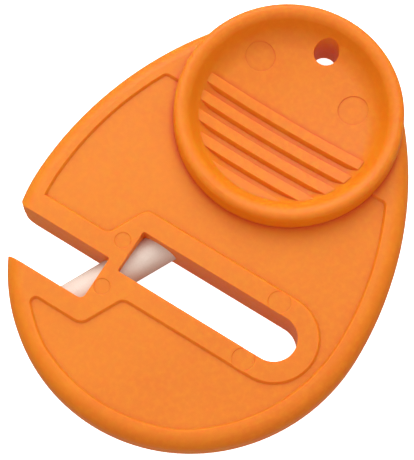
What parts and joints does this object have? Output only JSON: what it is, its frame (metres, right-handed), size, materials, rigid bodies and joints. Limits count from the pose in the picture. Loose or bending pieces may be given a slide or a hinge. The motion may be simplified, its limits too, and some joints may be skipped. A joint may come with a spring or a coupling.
{
  "type": "scissors sharpener",
  "caption": "Hand-held egg-shaped sharpener: two moulded shells hold a ceramic rod across a mouth and a slot, with a ribbed thumb dish and a lanyard hole.",
  "frame": {"origin": "middle of the outline, on the flat back face", "axes": "+X along the slot, towards its round end; +Y up the body, towards the thumb disc; +Z out of the front face"},
  "size_m": [0.0674, 0.0876, 0.0134],
  "materials": {
    "orange_front": "satin moulded, fine grain",
    "orange_back": "satin moulded, fine grain",
    "ceramic": "fine matt ceramic"
  },
  "bodies": {
    "root": {"front_shell": "orange_front", "back_shell": "orange_back", "ceramic_rod": "ceramic"}
  },
  "joints": []
}
